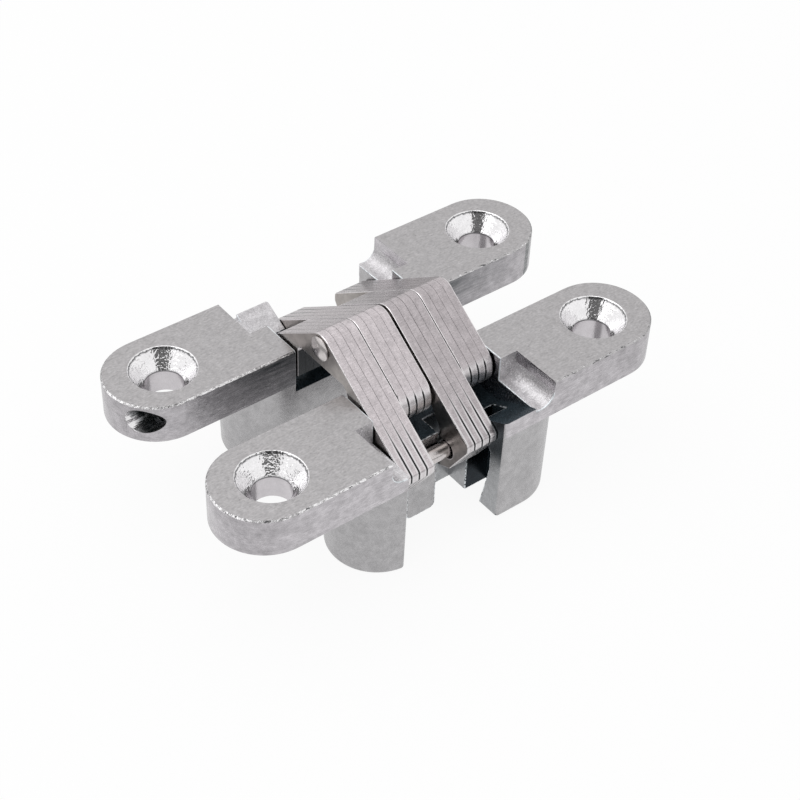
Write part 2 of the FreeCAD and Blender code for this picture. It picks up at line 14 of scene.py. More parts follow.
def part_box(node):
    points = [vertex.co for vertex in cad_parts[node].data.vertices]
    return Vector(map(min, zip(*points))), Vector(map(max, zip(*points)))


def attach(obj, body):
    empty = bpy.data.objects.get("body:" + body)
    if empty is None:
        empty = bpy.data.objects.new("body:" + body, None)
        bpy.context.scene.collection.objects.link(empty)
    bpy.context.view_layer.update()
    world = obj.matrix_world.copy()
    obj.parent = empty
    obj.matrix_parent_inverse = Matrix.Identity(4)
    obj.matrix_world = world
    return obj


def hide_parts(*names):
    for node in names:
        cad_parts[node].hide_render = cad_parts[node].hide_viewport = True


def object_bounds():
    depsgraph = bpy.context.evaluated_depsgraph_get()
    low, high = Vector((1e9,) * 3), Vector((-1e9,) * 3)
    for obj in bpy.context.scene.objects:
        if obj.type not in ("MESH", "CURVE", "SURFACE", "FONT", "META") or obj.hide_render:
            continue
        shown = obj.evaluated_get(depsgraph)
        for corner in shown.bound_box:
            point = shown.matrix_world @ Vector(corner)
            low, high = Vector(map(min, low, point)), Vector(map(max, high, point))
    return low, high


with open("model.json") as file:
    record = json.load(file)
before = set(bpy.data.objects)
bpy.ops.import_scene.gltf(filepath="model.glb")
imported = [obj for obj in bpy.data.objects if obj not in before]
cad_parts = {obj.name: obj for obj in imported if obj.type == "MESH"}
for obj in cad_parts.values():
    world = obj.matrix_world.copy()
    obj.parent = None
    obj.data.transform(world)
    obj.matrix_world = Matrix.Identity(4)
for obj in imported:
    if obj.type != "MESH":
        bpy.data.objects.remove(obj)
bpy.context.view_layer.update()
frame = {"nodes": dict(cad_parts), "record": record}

MM = 0.001

# The photograph's camera: where it stands, what it looks along, and its lens.
CAMERA_AZIMUTH = -0.68869
CAMERA_ELEVATION = 0.72555
CAMERA_ROLL = 0.04356
CAMERA_DISTANCE = 315.645 * MM
CAMERA_SIDE = 3.522 * MM
CAMERA_RISE = -10.405 * MM
PHOTO_SIZE = 800
FOCAL_PIXELS = 1737.07
SENSOR_WIDTH = 36.0

# The studio. The mirrored pairs hold what polished metal sees of the floor at the two reaches.
FLOOR_SIDE = 4.0
FLOOR_GREY = 0.9
FLOOR_ROUGHNESS = 0.9
FLOOR_SEEN = 0.92
MIRROR_REACH = (60 * MM, 130 * MM)
MIRRORED_SHARE = (0.78, 1.0)
MIRRORED_LEVEL = (1.0, 0.4)
WORLD_LIGHT = 0.75
CARD_RISE = 15 * MM
CARD_SIZE = (0.28, 0.2)
CARD_GREY = 0.01
LAMP_PLACE = (-0.25, 0.15, 0.65)
LAMP_SIZE = (0.9, 0.9)
LAMP_POWER = 2.2

# Joining the triangles of the CAD meshes again, and choosing the edges to round.
WELD = 0.001 * MM
FLAT_ANGLE = math.radians(0.5)
SHARP_ANGLE = math.radians(50)
SHORT_EDGE = 0.1 * MM
SLIVER_SHARE = 0.04
SLIVER_AREA = 0.3 * MM * MM

# Shading breaks over edges steeper than the first angle, and over flush joints of two finishes.
SMOOTH_ANGLE = math.radians(33)
FLUSH_ANGLE = math.radians(18)

# Rounding of the edges.
CAST_BEVEL = 0.14 * MM
BARE_BEVEL = 0.2 * MM
SEAM_BEVEL = 0.045 * MM
PACK_BEVEL = 0.16 * MM
PIN_BEVEL = 0.08 * MM
BEVEL_SEGMENTS = 2
BEVEL_PROFILE = 0.6

LINKS = 16
PACK_SIZE = 4
PINS = ("centre_pin", "fixed_pin_a", "fixed_pin_b", "slide_pin_a", "slide_pin_b")


def mount(name):
    return next(m for m in frame["record"]["mounts"] if m["name"] == name)


# Sizes of the hinge that its finishes follow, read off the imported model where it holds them.
# Those of a leaf are in its own frame, with Y from its middle line towards the other leaf.
SCREW_HALF = mount("screws_a")["dims"]["spacing_x_mm"] * MM / 2
SCREW_RADIUS = mount("screws_a")["dims"]["hole_r_mm"] * MM
PLATE_DEPTH = -mount("seat_a")["pos_m"][2]
LEAF_Y = -mount("screws_a")["pos_m"][1]
HALF_WIDTH = (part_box("leaf_a")[1].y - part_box("leaf_a")[0].y) / 2
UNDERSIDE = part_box("leaf_a")[0].z
SIDE_GAP = 0.35 * MM
BLOCK_GAP = 0.12 * MM
SLOT_PLAY = 0.15 * MM
BACK_WALL = 4.5 * MM
COUNTERSINK_RADIUS = 6.3 * MM
COUNTERSINK_DEPTH = 3.5 * MM
POCKET_HALF = -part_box("link_1")[0].x + SIDE_GAP
SCOOP_END = POCKET_HALF + 3.9 * MM
SCOOP_DEPTH = 5.5 * MM
BLOCK_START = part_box("link_12")[1].x + BLOCK_GAP
RIB_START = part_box("link_4")[1].x + SIDE_GAP
SLOT_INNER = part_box("slide_pin_a")[1].y + LEAF_Y + SLOT_PLAY
PIN_Y = (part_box("fixed_pin_a")[0].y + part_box("fixed_pin_a")[1].y) / 2 + LEAF_Y
PIN_Z = (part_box("fixed_pin_a")[0].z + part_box("fixed_pin_a")[1].z) / 2
END_BORE_REACH = 2.6 * MM
END_BORE_MOUTH = 44.9 * MM
PLATE_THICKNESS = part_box("link_1")[1].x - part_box("link_1")[0].x
RIDGE_HEIGHT = 8.887 * MM
RIDGE_SLOPE = math.tan(math.radians(34))

# Tests that find a face by its place and by the way it looks. The margins are how far inside the
# long sides of a plate, or below its face, the faces and edges of a scoop or a pocket lie.
HAIR = 0.01 * MM
PLACE_SLACK = 0.06 * MM
ROUND_SLACK = 1.02
SCOOP_MARGIN = 1.2 * MM
POCKET_MARGIN = 0.6 * MM
EDGE_MARGIN = 0.9 * MM
TOP_MARGIN = 0.5 * MM
FACING = 0.9
LEANING = 0.5
RIM_TILT = (0.4, 0.9)
BLOCK_TILT = (0.3, 0.7)
UNDER_EDGE_TOP = -1.0 * MM

# Layers of the finishes: the sockets that a mix node uses for colours, the range that most of
# a noise lies in, and tones that several finishes share.
MIX_FACTOR, MIX_A, MIX_B, MIX_RESULT = 0, 6, 7, 2
NOISE_LOW, NOISE_HIGH = 0.3, 0.7
OCCLUSION_SAMPLES = 6
LEAST_ROUGHNESS = 0.03
EVEN = (1, 1, 1)
# BRIGHT is a painted highlight, which on a rim goes with bare wear.
BRIGHT = (0.92, 0.91, 0.92)
# DARK_TONE is painted shade and dark reflection on a plate's side, and darkens a bore deeper in.
DARK_TONE = (0.05, 0.06, 0.065)
# GROOVE_SHADE is painted shade in the groove rings of a screw hole.
GROOVE_SHADE = (0.10, 0.10, 0.105)
# CREVICE is painted shade for inner corners and narrow gaps.
CREVICE = (0.01, 0.012, 0.014)


def new_material(name):
    material = bpy.data.materials.new(name)
    material.use_nodes = True
    return material, material.node_tree, material.node_tree.nodes["Principled BSDF"]


def feed(tree, socket, value):
    """Link a socket to another one, or set it to a plain value."""
    if isinstance(value, bpy.types.NodeSocket):
        tree.links.new(value, socket)
    else:
        socket.default_value = value


def add_node(tree, kind, **inputs):
    """Add a shader node and feed its inputs by name, with an underscore for a space."""
    node = tree.nodes.new("ShaderNode" + kind)
    for name, value in inputs.items():
        feed(tree, node.inputs[name.replace("_", " ")], value)
    return node


def add_math(tree, operation, first, second=0.0, clamp=False):
    node = add_node(tree, "Math")
    node.operation = operation
    node.use_clamp = clamp
    feed(tree, node.inputs[0], first)
    feed(tree, node.inputs[1], second)
    return node.outputs[0]


def add_span(tree, value, start, end, low=0.0, high=1.0, smooth=False):
    """Map a value from start..end to low..high, held at both ends."""
    node = add_node(tree, "MapRange", Value=value, From_Min=start, From_Max=end, To_Min=low, To_Max=high)
    if smooth:
        node.interpolation_type = "SMOOTHSTEP"
    return node.outputs[0]


class Finish:
    """A metal built up in procedural layers, which can follow the place on the piece."""

    def __init__(self, name, colour, roughness, metallic=1.0):
        self.material, self.tree, self.shader = new_material(name)
        self.shader.inputs["Metallic"].default_value = metallic
        self.shader.inputs["Roughness"].default_value = roughness
        self.roughness = roughness
        self.place = self.add("TexCoord").outputs["Object"]
        self.colour = self.add("RGB").outputs[0]
        self.colour.default_value = (*colour, 1)
        self.normal = None

    def add(self, kind, **inputs):
        return add_node(self.tree, kind, **inputs)

    def calc(self, operation, first, second=0.0, clamp=False):
        return add_math(self.tree, operation, first, second, clamp)

    def product(self, first, *others):
        for other in others:
            first = self.calc("MULTIPLY", first, other)
        return first

    def span(self, value, start, end, low=0.0, high=1.0, smooth=False):
        return add_span(self.tree, value, start, end, low, high, smooth)

    def axes(self):
        return tuple(self.add("SeparateXYZ", Vector=self.place).outputs)

    def noise(self, size, stretch=EVEN, detail=4.0, rough=0.6):
        """Noise with features of about a size, drawn out along the axes by stretch."""
        scaled = self.add("Mapping", Vector=self.place)
        scaled.inputs["Scale"].default_value = [1 / size / s for s in stretch]
        texture = self.add("TexNoise", Vector=scaled.outputs[0], Scale=1.0, Detail=detail, Roughness=rough)
        return texture.outputs[0]

    def blend(self, factor, colour, kind="MIX"):
        """Lay a colour, or a grey level for MULTIPLY, over the finish by a factor."""
        node = self.add("Mix")
        node.data_type = "RGBA"
        node.blend_type = kind
        node.clamp_result = False
        feed(self.tree, node.inputs[MIX_FACTOR], factor)
        feed(self.tree, node.inputs[MIX_A], self.colour)
        is_socket = isinstance(colour, bpy.types.NodeSocket)
        feed(self.tree, node.inputs[MIX_B], colour if is_socket else (*colour, 1))
        self.colour = node.outputs[MIX_RESULT]

    def vary(self, texture, amount):
        """Darken and lighten the finish by a share of its colour, after a texture."""
        self.blend(1.0, self.span(texture, NOISE_LOW, NOISE_HIGH, 1 - amount, 1 + amount), "MULTIPLY")

    def bump(self, height, depth, strength=1.0):
        node = self.add("Bump", Height=height, Distance=depth, Strength=strength)
        if self.normal:
            feed(self.tree, node.inputs["Normal"], self.normal)
        self.normal = node.outputs[0]

    def shade_crevices(self, reach, start):
        """Paint shade into inner corners and narrow gaps, from a share of openness down."""
        openness = self.add("AmbientOcclusion", Distance=reach)
        openness.samples = OCCLUSION_SAMPLES
        self.blend(self.span(openness.outputs["AO"], 0.0, start, 1.0, 0.0), CREVICE)

    def swing_roughness(self, texture, amount):
        low, high = max(self.roughness - amount, LEAST_ROUGHNESS), self.roughness + amount
        feed(self.tree, self.shader.inputs["Roughness"], self.span(texture, NOISE_LOW, NOISE_HIGH, low, high))

    def done(self):
        feed(self.tree, self.shader.inputs["Base Color"], self.colour)
        if self.normal:
            feed(self.tree, self.shader.inputs["Normal"], self.normal)
        return self.material


def cast_metal(name, colour, roughness, mottle=0.05, speck=0.06, stretch=(3, 1, 1), relief=0.012 * MM,
               crevice=0.35, metallic=1.0):
    """Satin die-cast zinc: cloudy tone, fine specks drawn out by stretch, painted shade in crevices."""
    finish = Finish(name, colour, roughness, metallic)
    clouds = finish.noise(1.6 * MM, detail=3, rough=0.5)
    fine = finish.noise(0.35 * MM, stretch, detail=4, rough=0.7)
    finish.vary(clouds, mottle)
    finish.vary(fine, speck)
    finish.shade_crevices(0.5 * MM, crevice)
    finish.swing_roughness(fine, 0.07)
    finish.bump(clouds, 0.02 * MM, strength=0.4)
    finish.bump(fine, relief)
    return finish


def face_metal():
    """Sanded along the leaf, then tumbled: short faint lines, fine mottle and faint pits."""
    finish = cast_metal("cast_face", (0.42, 0.408, 0.413), roughness=0.34, mottle=0.07, speck=0.22,
                        stretch=(2, 1, 1))
    lines = finish.noise(0.1 * MM, (50, 1, 1), detail=2)
    finish.vary(lines, 0.08)
    pits = finish.noise(0.35 * MM, detail=2)
    finish.blend(finish.span(pits, 0.68, 0.75, 0.0, 0.25), (0.25, 0.25, 0.26))
    return finish.done()


def side_metal():
    """The sides of a face plate, with painted shade and a painted dark reflection towards the pocket on the
    side that faces the other leaf.
    """
    finish = cast_metal("cast_side", (0.52, 0.50, 0.52), roughness=0.24, mottle=0.15, speck=0.18,
                        relief=0.03 * MM)
    lines = finish.noise(0.16 * MM, (40, 40, 1), detail=3)
    finish.vary(lines, 0.10)
    finish.bump(lines, 0.006 * MM)
    x, y, z = finish.axes()
    inner = finish.span(finish.calc("ABSOLUTE", y), LEAF_Y - 1 * MM, LEAF_Y - 5 * MM)
    near = finish.span(finish.calc("ABSOLUTE", x), SCREW_HALF + 3 * MM, POCKET_HALF + 4 * MM, 0.12, 1.0)
    high = finish.span(z, -PLATE_DEPTH, -0.8 * MM, 0.55, 1.0)
    streaks = finish.span(finish.noise(0.5 * MM, (12, 1, 1), detail=4), 0.35, 0.65, 0.6, 1.0)
    # Painted shade and dark reflection: streaked, on the inner side, strongest near the pocket and the top.
    finish.blend(finish.product(inner, near, high, streaks), DARK_TONE)
    return finish.done()


def rim_metal():
    """A rim worn bare in chips and painted bright as a highlight, fewer towards +X, between short dark nicks.
    """
    finish = cast_metal("worn_rim_highlight", (0.46, 0.45, 0.455), roughness=0.18, mottle=0.1, speck=0.1,
                        stretch=EVEN, relief=0.03 * MM)
    chips = finish.noise(0.5 * MM, (1.6, 1, 1), detail=6, rough=0.75)
    nicks = finish.noise(0.45 * MM, (3, 1, 1), detail=4, rough=0.7)
    finish.bump(chips, 0.12 * MM)
    x, _, _ = finish.axes()
    wear_and_highlight = finish.calc("SUBTRACT", chips, finish.span(x, -15 * MM, 20 * MM, 0.0, 0.10))
    # Bare wear in chips, and a painted highlight: the rim is laid near white there.
    finish.blend(finish.span(wear_and_highlight, 0.46, 0.52), BRIGHT)
    finish.blend(finish.span(nicks, 0.56, 0.60, 0.0, 0.85), (0.05, 0.05, 0.055))
    return finish.done()


def housing_metal():
    return cast_metal("cast_housing", (0.435, 0.428, 0.435), roughness=0.27, mottle=0.10, speck=0.14,
                      stretch=EVEN, relief=0.03 * MM).done()


def wall_metal():
    """Plain at the foot and at the top, with painted shade and oil between, where the legs run."""
    finish = cast_metal("slot_wall", (0.38, 0.385, 0.395), roughness=0.30, mottle=0.1, speck=0.15,
                        stretch=(1, 1, 2), relief=0.02 * MM)
    _, _, z = finish.axes()
    above_foot = finish.span(z, -17 * MM, -12 * MM, 0.0, 0.9, smooth=True)
    below_top = finish.span(z, -2.5 * MM, -5.0 * MM, smooth=True)
    # Painted shade and oil between the foot and the top of the wall.
    finish.blend(finish.product(above_foot, below_top), (0.03, 0.042, 0.05))
    return finish.done()


def slot_shade_metal():
    """The wall of the slide slot that the pin rubs along, painted black as shade."""
    return cast_metal("shaded_slot_wall", (0.012, 0.018, 0.024), roughness=0.25, mottle=0.2, speck=0.2,
                      stretch=(1, 1, 4), relief=0.01 * MM).done()


def scoop_metal():
    """As cast, bright and rough."""
    finish = cast_metal("rough_cast", (0.59, 0.575, 0.59), roughness=0.24, mottle=0.14, speck=0.24,
                        stretch=EVEN, relief=0.06 * MM, crevice=0.3, metallic=0.55)
    finish.bump(finish.noise(0.8 * MM, detail=3), 0.09 * MM)
    return finish.done()


def pocket_metal():
    """As cast, and painted dark for the shade in the pocket as well as oil."""
    return cast_metal("pocket", (0.05, 0.072, 0.088), roughness=0.22, mottle=0.25, speck=0.4,
                      stretch=EVEN, relief=0.04 * MM, metallic=0.6).done()


def bare_highlight_edge_metal():
    """Outer corners rubbed bare and painted bright as a highlight: most of a scoop's rim, and lengths of the
    corners in a pocket.
    """
    finish = Finish("bare_corner_highlight", (0.85, 0.89, 0.92), roughness=0.3, metallic=0.6)
    _, _, z = finish.axes()
    # Dark patches, faint less than 5 mm deep and full below about 5.6 mm.
    dark_patches = finish.span(finish.noise(0.9 * MM, detail=4), 0.50, 0.44)
    deep = finish.span(z, -5.0 * MM, -5.6 * MM, 0.2, 1.0)
    finish.blend(finish.product(dark_patches, deep), (0.06, 0.075, 0.085))
    return finish.done()


def radial_distance(finish):
    """Distance from the axis of the nearest screw hole."""
    x, y, _ = finish.axes()
    along = finish.calc("SUBTRACT", finish.calc("ABSOLUTE", x), SCREW_HALF)
    across = finish.calc("SUBTRACT", finish.calc("ABSOLUTE", y), LEAF_Y)
    squares = finish.calc("ADD", finish.product(along, along), finish.product(across, across))
    return finish.calc("SQRT", squares)


def cone_metal():
    """Polished countersink with painted groove shade: a dark line just inside its lip and another at its
    foot.
    """
    finish = cast_metal("countersink", (0.88, 0.87, 0.88), roughness=0.06, mottle=0.05, speck=0.08,
                        stretch=EVEN, relief=0.004 * MM, crevice=0.2, metallic=0.85)
    coarse = finish.noise(0.5 * MM, detail=1)
    finish.bump(coarse, 0.08 * MM)
    wander = finish.span(coarse, NOISE_LOW, NOISE_HIGH, -0.08 * MM, 0.08 * MM)
    reach = finish.calc("ADD", radial_distance(finish), wander)
    lip = finish.span(reach, COUNTERSINK_RADIUS - 0.42 * MM, COUNTERSINK_RADIUS - 0.22 * MM)
    lip_end = finish.span(reach, COUNTERSINK_RADIUS - 0.2 * MM, COUNTERSINK_RADIUS - 0.1 * MM, 1, 0)
    # Painted shade in the groove just inside the lip.
    finish.blend(finish.product(lip, lip_end), GROOVE_SHADE)
    foot = finish.span(reach, SCREW_RADIUS + 0.05 * MM, SCREW_RADIUS + 0.17 * MM, 1, 0)
    # Painted shade at the foot of the cone, where it meets the hole.
    finish.blend(finish.product(foot, 0.4), (0.15, 0.15, 0.155))
    return finish.done()


def bore_metal():
    """A screw hole with painted groove shade at its top."""
    finish = cast_metal("screw_hole", (0.60, 0.575, 0.595), roughness=0.20, stretch=(1, 1, 2),
                        relief=0.02 * MM)
    _, _, z = finish.axes()
    top_ring = finish.span(z, -COUNTERSINK_DEPTH - 0.4 * MM, -COUNTERSINK_DEPTH - 0.2 * MM)
    # Painted shade in the groove at the top of the hole.
    finish.blend(finish.product(top_ring, 0.8), GROOVE_SHADE)
    return finish.done()


def end_bore_metal():
    """Drilled, bright at the mouth and darker deeper in, in streaks."""
    finish = cast_metal("end_bore", (0.85, 0.84, 0.85), roughness=0.08, mottle=0.05, speck=0.08,
                        stretch=(4, 1, 1), relief=0.01 * MM, crevice=0.2, metallic=0.85)
    coarse = finish.noise(0.5 * MM, (4, 1, 1), detail=2)
    finish.bump(coarse, 0.06 * MM)
    x, _, _ = finish.axes()
    deep = finish.span(finish.calc("ABSOLUTE", x), END_BORE_MOUTH + 0.4 * MM, END_BORE_MOUTH - 0.9 * MM)
    streaks = finish.span(coarse, 0.4, 0.6, 0.75, 1.0)
    finish.blend(finish.product(deep, streaks), DARK_TONE)
    return finish.done()


def link_edge_metal():
    """The stamped edges of a leg plate, which show as one face of a pack with seams between plates.

    The seams are pressed shut near the ridge and gape towards the feet and round the eyes.
    """
    finish = Finish("link_edge", (0.57, 0.525, 0.54), roughness=0.27, metallic=0.85)
    clouds = finish.noise(1.3 * MM, (0.7, 1.6, 1.6), detail=3)
    fine = finish.noise(0.3 * MM, detail=6, rough=0.8)
    shear = finish.noise(0.12 * MM, (14, 1, 1), detail=3)
    finish.vary(clouds, 0.13)
    finish.vary(fine, 0.22)
    finish.vary(shear, 0.14)
    x, y, z = finish.axes()

    # The two packs on the +X side are a little darker.
    finish.blend(1.0, finish.span(x, -1.0 * MM, 1.0 * MM, 1.0, 0.80), "MULTIPLY")

    # Gaping, from 0 to 1: under the slopes, and towards the feet of the long legs.
    out = finish.calc("ABSOLUTE", y)
    slope_z = finish.calc("SUBTRACT", RIDGE_HEIGHT, finish.product(out, RIDGE_SLOPE))
    under_slope = finish.span(finish.calc("SUBTRACT", slope_z, z), 0.06 * MM, 0.5 * MM)
    below = finish.product(under_slope, finish.span(out, 4 * MM, 5.5 * MM))
    gaping = finish.calc("MAXIMUM", below, finish.span(out, 14.5 * MM, 21 * MM))

    # The seam: distance from the nearer flat of the plate, as a share of the seam's width there.
    across = finish.add("SeparateXYZ", Vector=finish.add("TexCoord").outputs["Generated"]).outputs[0]
    from_side = finish.calc("MINIMUM", across, finish.calc("SUBTRACT", 1.0, across))
    wander = finish.span(fine, NOISE_LOW, NOISE_HIGH, -0.012 * MM, 0.012 * MM)
    ragged = finish.calc("ADD", finish.product(from_side, PLATE_THICKNESS), wander)
    share = finish.calc("DIVIDE", ragged, finish.span(gaping, 0, 1, 0.05 * MM, 0.23 * MM))
    seam = finish.span(share, 0.5, 1.0, 1, 0)
    pressed = finish.span(finish.noise(2.4 * MM, (1, 12, 12), detail=1), 0.42, 0.66, 0.0, 0.5)
    arris_highlight = finish.product(finish.span(share, 2.4, 1.2), gaping)
    # Painted highlight on the arris beside a gaping seam.
    finish.blend(finish.product(arris_highlight, 0.6), BRIGHT)
    # Painted light: the edge faces below the slopes, round the eyes and down the legs, made lighter.
    finish.blend(finish.product(below, 0.5), (0.80, 0.78, 0.79))
    finish.blend(finish.product(seam, finish.calc("ADD", pressed, gaping, clamp=True)), (0.02, 0.02, 0.022))

    finish.swing_roughness(fine, 0.08)
    finish.bump(clouds, 0.02 * MM, strength=0.4)
    finish.bump(fine, 0.016 * MM)
    finish.shade_crevices(0.4 * MM, 0.3)
    return finish.done()


def under_edge_metal():
    """The under edges of a leg plate, dark with oil and with painted shade."""
    finish = Finish("link_under_edge", (0.10, 0.105, 0.11), roughness=0.25)
    fine = finish.noise(0.3 * MM, detail=5, rough=0.8)
    finish.vary(fine, 0.3)
    finish.bump(fine, 0.016 * MM)
    return finish.done()


def link_corner_metal():
    """The outer corners of a pack, rubbed bright and painted bright as a highlight."""
    finish = Finish("link_corner", (0.78, 0.75, 0.76), roughness=0.2)
    fine = finish.noise(0.4 * MM, detail=5, rough=0.7)
    finish.vary(fine, 0.25)
    finish.bump(fine, 0.02 * MM)
    return finish.done()


def link_flat_metal():
    """The rolled flat of a leg plate, cloudy with a fine grain."""
    finish = Finish("link_flat", (0.37, 0.345, 0.33), roughness=0.33)
    clouds = finish.noise(1.8 * MM)
    fine = finish.noise(0.35 * MM, detail=5, rough=0.7)
    finish.vary(clouds, 0.18)
    finish.vary(fine, 0.12)
    finish.shade_crevices(0.5 * MM, 0.4)
    finish.swing_roughness(fine, 0.07)
    finish.bump(fine, 0.014 * MM)
    return finish.done()


def pin_metal():
    """Ground round, so that the grain runs about the pin."""
    finish = Finish("pin_ground", (0.60, 0.565, 0.56), roughness=0.20)
    fine = finish.noise(0.3 * MM, (1, 4, 4))
    finish.vary(fine, 0.12)
    finish.bump(fine, 0.01 * MM)
    finish.shade_crevices(0.4 * MM, 0.4)
    return finish.done()


# The finishes of each kind of piece, in the order of the names below them. One more at the end
# of a list is for the edges that are rounded more than the rest.
CAST_FINISHES = [
    face_metal(), side_metal(), housing_metal(), cone_metal(), bore_metal(), scoop_metal(),
    pocket_metal(), rim_metal(), wall_metal(), slot_shade_metal(), end_bore_metal(), bare_highlight_edge_metal(),
]
FACE, SIDE, HOUSING, CONE, BORE, SCOOP, POCKET, RIM, WALL, SLOT_SHADE, END_BORE = range(11)
LINK_FINISHES = [link_edge_metal(), link_flat_metal(), under_edge_metal(), link_corner_metal()]
LINK_EDGE, LINK_FLAT, UNDER_EDGE = range(3)
PIN_FINISHES = [pin_metal()]


def cast_zone(turn):
    """Finish of a casting's face from its middle and normal; turn is -1 for the leaf on the +Y side."""
    def choose(centre, normal):
        x, y, z = centre.x * turn, centre.y * turn + LEAF_Y, centre.z
        from_screw = math.hypot(abs(x) - SCREW_HALF, y)
        from_pin = math.hypot(y - PIN_Y, z - PIN_Z)
        in_pocket = abs(x) < POCKET_HALF + HAIR
        if z > -HAIR and normal.z > FACING:
            return FACE
        if z < UNDERSIDE + HAIR:
            return HOUSING
        if from_screw < SCREW_RADIUS * ROUND_SLACK and abs(normal.z) < LEANING:
            return BORE
        if from_screw < COUNTERSINK_RADIUS and z > -PLATE_DEPTH + MM:
            return CONE
        if from_pin < END_BORE_REACH and abs(x) > SCOOP_END + MM and abs(normal.x) < LEANING:
            return END_BORE
        if is_scoop(x, y, z, normal):
            return SCOOP
        if RIM_TILT[0] < abs(normal.z) < RIM_TILT[1] and not in_pocket and z > -PLATE_DEPTH - HAIR:
            return RIM
        on_block = in_pocket and x > BLOCK_START - HAIR
        if turn < 0 and on_block and BLOCK_TILT[0] < abs(normal.y) < BLOCK_TILT[1]:
            return SCOOP
        if in_pocket and abs(y) < HALF_WIDTH - POCKET_MARGIN:
            return pocket_zone(x, y, z, normal * turn)
        if z < -PLATE_DEPTH - 5 * HAIR:
            return HOUSING
        return SIDE
    return choose


def is_scoop(x, y, z, normal):
    """True for a face of the two scoops beside a pocket, in the leaf's own frame."""
    beside = POCKET_HALF + 2 * HAIR < abs(x) < SCOOP_END + HAIR
    inside = abs(y) < HALF_WIDTH - SCOOP_MARGIN or abs(normal.x) > LEANING
    return beside and inside and z > -SCOOP_DEPTH


def pocket_zone(x, y, z, normal):
    """Finish of a face inside a casting's pocket, in the leaf's own frame."""
    if abs(abs(x) - POCKET_HALF) < PLACE_SLACK:
        return WALL
    if normal.x < -FACING and min(abs(x - BLOCK_START), abs(x - RIB_START)) < PLACE_SLACK:
        return WALL
    if normal.y < -FACING and abs(y - BACK_WALL) < PLACE_SLACK:
        return WALL
    # The inner wall of a slide slot: past the block it takes the painted slot shade.
    if normal.y < -FACING and abs(y - SLOT_INNER) < PLACE_SLACK:
        return HOUSING if x < BLOCK_START else SLOT_SHADE
    return POCKET


def link_zone(centre, normal):
    """Finish of a leg plate's face: a flat, an under edge that faces inwards, or another edge."""
    if abs(normal.x) > FACING:
        return LINK_FLAT
    inward = normal.y * math.copysign(1, centre.y) < -LEANING
    return UNDER_EDGE if centre.z < UNDER_EDGE_TOP and inward and normal.z < LEANING else LINK_EDGE


def pin_zone(centre, normal):
    return 0


def bare_edge(turn):
    """Picks the outer corners inside a casting's pocket, below its face, and the rims of its scoops."""
    def choose(edge):
        places = [(abs(v.co.x), abs(v.co.y * turn + LEAF_Y), v.co.z) for v in edge.verts]
        in_pocket = all(x < POCKET_HALF - 5 * HAIR and y < HALF_WIDTH - EDGE_MARGIN and z < -TOP_MARGIN
                        for x, y, z in places)
        at_scoop = all(POCKET_HALF - HAIR < x < SCOOP_END + HAIR and z > -SCOOP_DEPTH - 10 * HAIR
                       for x, _, z in places)
        return in_pocket or at_scoop
    return choose


def outer_edge(node, number):
    """Picks the edges on the outer side of a pack, on its first and its last leg plate."""
    place = (number - 1) % PACK_SIZE
    low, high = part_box(node)
    sides = [low.x] * (place == 0) + [high.x] * (place == PACK_SIZE - 1)
    return lambda edge: any(all(abs(v.co.x - x) < WELD for v in edge.verts) for x in sides)


def no_edge(edge):
    return False


def is_sliver(face):
    """True for a triangle too thin to have a sure direction, as the mesh of a fillet can hold."""
    longest = max(edge.calc_length() for edge in face.edges)
    return face.calc_area() < min(SLIVER_SHARE * longest ** 2, SLIVER_AREA)


def sharp_edges(bm):
    """Outer edges to round: those that turn sharply between two sound faces."""
    sharp = [e for e in bm.edges if e.is_convex and e.calc_face_angle() > SHARP_ANGLE]
    return [e for e in sharp if e.calc_length() > SHORT_EDGE and not any(is_sliver(f) for f in e.link_faces)]


def round_edges(bm, edges, width, material):
    """Bevel some edges, in a material of the mesh's list, or in their faces' own for -1."""
    if edges:
        bmesh.ops.bevel(
            bm, geom=edges, offset=width, offset_type="OFFSET", segments=BEVEL_SEGMENTS,
            profile=BEVEL_PROFILE, affect="EDGES", clamp_overlap=False, material=material,
            harden_normals=False,
        )


def is_smooth(edge):
    """Whether shading runs on over an edge."""
    angle = edge.calc_face_angle(math.pi)
    two_finishes = len({face.material_index for face in edge.link_faces}) > 1
    return angle < SMOOTH_ANGLE and not (angle < FLUSH_ANGLE and two_finishes)


def bevelled(source, name, materials, choose, width, is_worn, worn_width):
    """A copy of a CAD node with its faces joined again, its finishes and its sharp edges rounded.

    The edges that is_worn picks are rounded by their own width, in the last finish.
    """
    bm = bmesh.new()
    bm.from_mesh(source.data)
    bmesh.ops.remove_doubles(bm, verts=bm.verts, dist=WELD)
    bmesh.ops.dissolve_limit(bm, angle_limit=FLAT_ANGLE, verts=bm.verts, edges=bm.edges)
    for face in bm.faces:
        face.material_index = choose(face.calc_center_median(), face.normal)
    round_edges(bm, [e for e in sharp_edges(bm) if not is_worn(e)], width, -1)
    round_edges(bm, [e for e in sharp_edges(bm) if is_worn(e)], worn_width, len(materials) - 1)
    for face in bm.faces:
        face.smooth = True
    for edge in bm.edges:
        edge.smooth = is_smooth(edge)
    mesh = bpy.data.meshes.new(name)
    bm.to_mesh(mesh)
    bm.free()
    for material in materials:
        mesh.materials.append(material)
    piece = bpy.data.objects.new(name, mesh)
    bpy.context.scene.collection.objects.link(piece)
    weighted = piece.modifiers.new("weighted_normals", "WEIGHTED_NORMAL")
    weighted.keep_sharp = True
    return piece


def body_of(node):
    return next(b for b, nodes in frame["record"]["behaviour"]["bodies"].items() if node in nodes)


def dress(node, ending, materials, choose, width, is_worn=no_edge, worn_width=0.0):
    """Put a finished copy in the place of a CAD node, riding with its body."""
    piece = bevelled(frame["nodes"][node], node + ending, materials, choose, width, is_worn, worn_width)
    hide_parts(node)
    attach(piece, body_of(node))


